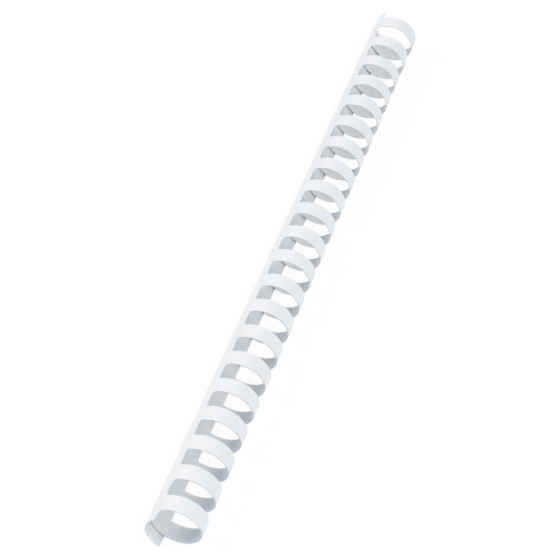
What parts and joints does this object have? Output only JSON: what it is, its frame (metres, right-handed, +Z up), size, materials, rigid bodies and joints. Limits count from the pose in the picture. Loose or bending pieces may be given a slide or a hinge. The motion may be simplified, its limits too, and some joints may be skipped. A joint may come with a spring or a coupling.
{
  "type": "plastic binding comb",
  "caption": "Curled plastic binding comb: a long rounded spine with a row of springy ring fingers that uncurl to take punched pages and close again behind it.",
  "frame": {"origin": "middle of the comb's footprint, on the surface it lies on", "axes": "+X along the spine, +Y towards the spine's side, +Z up; the open ring side faces -Y"},
  "size_m": [0.3016, 0.0208, 0.0203],
  "materials": {
    "white_pvc": "satin white PVC sheet"
  },
  "bodies": {
    "spine": {"spine_lip": "white_pvc", "spine_back_01": "white_pvc", "spine_back_02": "white_pvc", "spine_back_03": "white_pvc", "spine_back_04": "white_pvc", "spine_edge": "white_pvc"},
    "finger_root_01": {"finger_root_01": "white_pvc"},
    "finger_curl_01": {"finger_curl_01": "white_pvc"},
    "finger_root_02": {"finger_root_02": "white_pvc"},
    "finger_curl_02": {"finger_curl_02": "white_pvc"},
    "finger_root_03": {"finger_root_03": "white_pvc"},
    "finger_curl_03": {"finger_curl_03": "white_pvc"},
    "finger_root_04": {"finger_root_04": "white_pvc"},
    "finger_curl_04": {"finger_curl_04": "white_pvc"},
    "finger_root_05": {"finger_root_05": "white_pvc"},
    "finger_curl_05": {"finger_curl_05": "white_pvc"},
    "finger_root_06": {"finger_root_06": "white_pvc"},
    "finger_curl_06": {"finger_curl_06": "white_pvc"},
    "finger_root_07": {"finger_root_07": "white_pvc"},
    "finger_curl_07": {"finger_curl_07": "white_pvc"},
    "finger_root_08": {"finger_root_08": "white_pvc"},
    "finger_curl_08": {"finger_curl_08": "white_pvc"},
    "finger_root_09": {"finger_root_09": "white_pvc"},
    "finger_curl_09": {"finger_curl_09": "white_pvc"},
    "finger_root_10": {"finger_root_10": "white_pvc"},
    "finger_curl_10": {"finger_curl_10": "white_pvc"},
    "finger_root_11": {"finger_root_11": "white_pvc"},
    "finger_curl_11": {"finger_curl_11": "white_pvc"},
    "finger_root_12": {"finger_root_12": "white_pvc"},
    "finger_curl_12": {"finger_curl_12": "white_pvc"},
    "finger_root_13": {"finger_root_13": "white_pvc"},
    "finger_curl_13": {"finger_curl_13": "white_pvc"},
    "finger_root_14": {"finger_root_14": "white_pvc"},
    "finger_curl_14": {"finger_curl_14": "white_pvc"},
    "finger_root_15": {"finger_root_15": "white_pvc"},
    "finger_curl_15": {"finger_curl_15": "white_pvc"},
    "finger_root_16": {"finger_root_16": "white_pvc"},
    "finger_curl_16": {"finger_curl_16": "white_pvc"},
    "finger_root_17": {"finger_root_17": "white_pvc"},
    "finger_curl_17": {"finger_curl_17": "white_pvc"},
    "finger_root_18": {"finger_root_18": "white_pvc"},
    "finger_curl_18": {"finger_curl_18": "white_pvc"},
    "finger_root_19": {"finger_root_19": "white_pvc"},
    "finger_curl_19": {"finger_curl_19": "white_pvc"},
    "finger_root_20": {"finger_root_20": "white_pvc"},
    "finger_curl_20": {"finger_curl_20": "white_pvc"},
    "finger_root_21": {"finger_root_21": "white_pvc"},
    "finger_curl_21": {"finger_curl_21": "white_pvc"}
  },
  "joints": [
    {"name": "ring_01_open", "type": "hinge", "parent": "spine", "child": "finger_root_01", "pos_m": [-0.14288, 0.00327, 0.01979], "axis": [-1, 0, 0], "range_deg": [0, 40], "stiffness_Nm_per_rad": 0.005, "springref_deg": -5.73},
    {"name": "ring_01_uncurl", "type": "hinge", "parent": "finger_root_01", "child": "finger_curl_01", "pos_m": [-0.14288, -0.00735, 0.01738], "axis": [-1, 0, 0], "range_deg": [0, 51]},
    {"name": "ring_02_open", "type": "hinge", "parent": "spine", "child": "finger_root_02", "pos_m": [-0.12859, 0.00327, 0.01979], "axis": [-1, 0, 0], "range_deg": [0, 40], "stiffness_Nm_per_rad": 0.005, "springref_deg": -5.73},
    {"name": "ring_02_uncurl", "type": "hinge", "parent": "finger_root_02", "child": "finger_curl_02", "pos_m": [-0.12859, -0.00735, 0.01738], "axis": [-1, 0, 0], "range_deg": [0, 51]},
    {"name": "ring_03_open", "type": "hinge", "parent": "spine", "child": "finger_root_03", "pos_m": [-0.1143, 0.00327, 0.01979], "axis": [-1, 0, 0], "range_deg": [0, 40], "stiffness_Nm_per_rad": 0.005, "springref_deg": -5.73},
    {"name": "ring_03_uncurl", "type": "hinge", "parent": "finger_root_03", "child": "finger_curl_03", "pos_m": [-0.1143, -0.00735, 0.01738], "axis": [-1, 0, 0], "range_deg": [0, 51]},
    {"name": "ring_04_open", "type": "hinge", "parent": "spine", "child": "finger_root_04", "pos_m": [-0.10001, 0.00327, 0.01979], "axis": [-1, 0, 0], "range_deg": [0, 40], "stiffness_Nm_per_rad": 0.005, "springref_deg": -5.73},
    {"name": "ring_04_uncurl", "type": "hinge", "parent": "finger_root_04", "child": "finger_curl_04", "pos_m": [-0.10001, -0.00735, 0.01738], "axis": [-1, 0, 0], "range_deg": [0, 51]},
    {"name": "ring_05_open", "type": "hinge", "parent": "spine", "child": "finger_root_05", "pos_m": [-0.08572, 0.00327, 0.01979], "axis": [-1, 0, 0], "range_deg": [0, 40], "stiffness_Nm_per_rad": 0.005, "springref_deg": -5.73},
    {"name": "ring_05_uncurl", "type": "hinge", "parent": "finger_root_05", "child": "finger_curl_05", "pos_m": [-0.08572, -0.00735, 0.01738], "axis": [-1, 0, 0], "range_deg": [0, 51]},
    {"name": "ring_06_open", "type": "hinge", "parent": "spine", "child": "finger_root_06", "pos_m": [-0.07144, 0.00327, 0.01979], "axis": [-1, 0, 0], "range_deg": [0, 40], "stiffness_Nm_per_rad": 0.005, "springref_deg": -5.73},
    {"name": "ring_06_uncurl", "type": "hinge", "parent": "finger_root_06", "child": "finger_curl_06", "pos_m": [-0.07144, -0.00735, 0.01738], "axis": [-1, 0, 0], "range_deg": [0, 51]},
    {"name": "ring_07_open", "type": "hinge", "parent": "spine", "child": "finger_root_07", "pos_m": [-0.05715, 0.00327, 0.01979], "axis": [-1, 0, 0], "range_deg": [0, 40], "stiffness_Nm_per_rad": 0.005, "springref_deg": -5.73},
    {"name": "ring_07_uncurl", "type": "hinge", "parent": "finger_root_07", "child": "finger_curl_07", "pos_m": [-0.05715, -0.00735, 0.01738], "axis": [-1, 0, 0], "range_deg": [0, 51]},
    {"name": "ring_08_open", "type": "hinge", "parent": "spine", "child": "finger_root_08", "pos_m": [-0.04286, 0.00327, 0.01979], "axis": [-1, 0, 0], "range_deg": [0, 40], "stiffness_Nm_per_rad": 0.005, "springref_deg": -5.73},
    {"name": "ring_08_uncurl", "type": "hinge", "parent": "finger_root_08", "child": "finger_curl_08", "pos_m": [-0.04286, -0.00735, 0.01738], "axis": [-1, 0, 0], "range_deg": [0, 51]},
    {"name": "ring_09_open", "type": "hinge", "parent": "spine", "child": "finger_root_09", "pos_m": [-0.02857, 0.00327, 0.01979], "axis": [-1, 0, 0], "range_deg": [0, 40], "stiffness_Nm_per_rad": 0.005, "springref_deg": -5.73},
    {"name": "ring_09_uncurl", "type": "hinge", "parent": "finger_root_09", "child": "finger_curl_09", "pos_m": [-0.02857, -0.00735, 0.01738], "axis": [-1, 0, 0], "range_deg": [0, 51]},
    {"name": "ring_10_open", "type": "hinge", "parent": "spine", "child": "finger_root_10", "pos_m": [-0.01429, 0.00327, 0.01979], "axis": [-1, 0, 0], "range_deg": [0, 40], "stiffness_Nm_per_rad": 0.005, "springref_deg": -5.73},
    {"name": "ring_10_uncurl", "type": "hinge", "parent": "finger_root_10", "child": "finger_curl_10", "pos_m": [-0.01429, -0.00735, 0.01738], "axis": [-1, 0, 0], "range_deg": [0, 51]},
    {"name": "ring_11_open", "type": "hinge", "parent": "spine", "child": "finger_root_11", "pos_m": [0, 0.00327, 0.01979], "axis": [-1, 0, 0], "range_deg": [0, 40], "stiffness_Nm_per_rad": 0.005, "springref_deg": -5.73},
    {"name": "ring_11_uncurl", "type": "hinge", "parent": "finger_root_11", "child": "finger_curl_11", "pos_m": [0, -0.00735, 0.01738], "axis": [-1, 0, 0], "range_deg": [0, 51]},
    {"name": "ring_12_open", "type": "hinge", "parent": "spine", "child": "finger_root_12", "pos_m": [0.01429, 0.00327, 0.01979], "axis": [-1, 0, 0], "range_deg": [0, 40], "stiffness_Nm_per_rad": 0.005, "springref_deg": -5.73},
    {"name": "ring_12_uncurl", "type": "hinge", "parent": "finger_root_12", "child": "finger_curl_12", "pos_m": [0.01429, -0.00735, 0.01738], "axis": [-1, 0, 0], "range_deg": [0, 51]},
    {"name": "ring_13_open", "type": "hinge", "parent": "spine", "child": "finger_root_13", "pos_m": [0.02857, 0.00327, 0.01979], "axis": [-1, 0, 0], "range_deg": [0, 40], "stiffness_Nm_per_rad": 0.005, "springref_deg": -5.73},
    {"name": "ring_13_uncurl", "type": "hinge", "parent": "finger_root_13", "child": "finger_curl_13", "pos_m": [0.02857, -0.00735, 0.01738], "axis": [-1, 0, 0], "range_deg": [0, 51]},
    {"name": "ring_14_open", "type": "hinge", "parent": "spine", "child": "finger_root_14", "pos_m": [0.04286, 0.00327, 0.01979], "axis": [-1, 0, 0], "range_deg": [0, 40], "stiffness_Nm_per_rad": 0.005, "springref_deg": -5.73},
    {"name": "ring_14_uncurl", "type": "hinge", "parent": "finger_root_14", "child": "finger_curl_14", "pos_m": [0.04286, -0.00735, 0.01738], "axis": [-1, 0, 0], "range_deg": [0, 51]},
    {"name": "ring_15_open", "type": "hinge", "parent": "spine", "child": "finger_root_15", "pos_m": [0.05715, 0.00327, 0.01979], "axis": [-1, 0, 0], "range_deg": [0, 40], "stiffness_Nm_per_rad": 0.005, "springref_deg": -5.73},
    {"name": "ring_15_uncurl", "type": "hinge", "parent": "finger_root_15", "child": "finger_curl_15", "pos_m": [0.05715, -0.00735, 0.01738], "axis": [-1, 0, 0], "range_deg": [0, 51]},
    {"name": "ring_16_open", "type": "hinge", "parent": "spine", "child": "finger_root_16", "pos_m": [0.07144, 0.00327, 0.01979], "axis": [-1, 0, 0], "range_deg": [0, 40], "stiffness_Nm_per_rad": 0.005, "springref_deg": -5.73},
    {"name": "ring_16_uncurl", "type": "hinge", "parent": "finger_root_16", "child": "finger_curl_16", "pos_m": [0.07144, -0.00735, 0.01738], "axis": [-1, 0, 0], "range_deg": [0, 51]},
    {"name": "ring_17_open", "type": "hinge", "parent": "spine", "child": "finger_root_17", "pos_m": [0.08572, 0.00327, 0.01979], "axis": [-1, 0, 0], "range_deg": [0, 40], "stiffness_Nm_per_rad": 0.005, "springref_deg": -5.73},
    {"name": "ring_17_uncurl", "type": "hinge", "parent": "finger_root_17", "child": "finger_curl_17", "pos_m": [0.08572, -0.00735, 0.01738], "axis": [-1, 0, 0], "range_deg": [0, 51]},
    {"name": "ring_18_open", "type": "hinge", "parent": "spine", "child": "finger_root_18", "pos_m": [0.10001, 0.00327, 0.01979], "axis": [-1, 0, 0], "range_deg": [0, 40], "stiffness_Nm_per_rad": 0.005, "springref_deg": -5.73},
    {"name": "ring_18_uncurl", "type": "hinge", "parent": "finger_root_18", "child": "finger_curl_18", "pos_m": [0.10001, -0.00735, 0.01738], "axis": [-1, 0, 0], "range_deg": [0, 51]},
    {"name": "ring_19_open", "type": "hinge", "parent": "spine", "child": "finger_root_19", "pos_m": [0.1143, 0.00327, 0.01979], "axis": [-1, 0, 0], "range_deg": [0, 40], "stiffness_Nm_per_rad": 0.005, "springref_deg": -5.73},
    {"name": "ring_19_uncurl", "type": "hinge", "parent": "finger_root_19", "child": "finger_curl_19", "pos_m": [0.1143, -0.00735, 0.01738], "axis": [-1, 0, 0], "range_deg": [0, 51]},
    {"name": "ring_20_open", "type": "hinge", "parent": "spine", "child": "finger_root_20", "pos_m": [0.12859, 0.00327, 0.01979], "axis": [-1, 0, 0], "range_deg": [0, 40], "stiffness_Nm_per_rad": 0.005, "springref_deg": -5.73},
    {"name": "ring_20_uncurl", "type": "hinge", "parent": "finger_root_20", "child": "finger_curl_20", "pos_m": [0.12859, -0.00735, 0.01738], "axis": [-1, 0, 0], "range_deg": [0, 51]},
    {"name": "ring_21_open", "type": "hinge", "parent": "spine", "child": "finger_root_21", "pos_m": [0.14288, 0.00327, 0.01979], "axis": [-1, 0, 0], "range_deg": [0, 40], "stiffness_Nm_per_rad": 0.005, "springref_deg": -5.73},
    {"name": "ring_21_uncurl", "type": "hinge", "parent": "finger_root_21", "child": "finger_curl_21", "pos_m": [0.14288, -0.00735, 0.01738], "axis": [-1, 0, 0], "range_deg": [0, 51]}
  ],
  "couplings": [
    {"joint": "ring_01_uncurl", "follows": "ring_01_open", "ratio": 1.25},
    {"joint": "ring_02_uncurl", "follows": "ring_02_open", "ratio": 1.25},
    {"joint": "ring_03_uncurl", "follows": "ring_03_open", "ratio": 1.25},
    {"joint": "ring_04_uncurl", "follows": "ring_04_open", "ratio": 1.25},
    {"joint": "ring_05_uncurl", "follows": "ring_05_open", "ratio": 1.25},
    {"joint": "ring_06_uncurl", "follows": "ring_06_open", "ratio": 1.25},
    {"joint": "ring_07_uncurl", "follows": "ring_07_open", "ratio": 1.25},
    {"joint": "ring_08_uncurl", "follows": "ring_08_open", "ratio": 1.25},
    {"joint": "ring_09_uncurl", "follows": "ring_09_open", "ratio": 1.25},
    {"joint": "ring_10_uncurl", "follows": "ring_10_open", "ratio": 1.25},
    {"joint": "ring_11_uncurl", "follows": "ring_11_open", "ratio": 1.25},
    {"joint": "ring_12_uncurl", "follows": "ring_12_open", "ratio": 1.25},
    {"joint": "ring_13_uncurl", "follows": "ring_13_open", "ratio": 1.25},
    {"joint": "ring_14_uncurl", "follows": "ring_14_open", "ratio": 1.25},
    {"joint": "ring_15_uncurl", "follows": "ring_15_open", "ratio": 1.25},
    {"joint": "ring_16_uncurl", "follows": "ring_16_open", "ratio": 1.25},
    {"joint": "ring_17_uncurl", "follows": "ring_17_open", "ratio": 1.25},
    {"joint": "ring_18_uncurl", "follows": "ring_18_open", "ratio": 1.25},
    {"joint": "ring_19_uncurl", "follows": "ring_19_open", "ratio": 1.25},
    {"joint": "ring_20_uncurl", "follows": "ring_20_open", "ratio": 1.25},
    {"joint": "ring_21_uncurl", "follows": "ring_21_open", "ratio": 1.25}
  ]
}
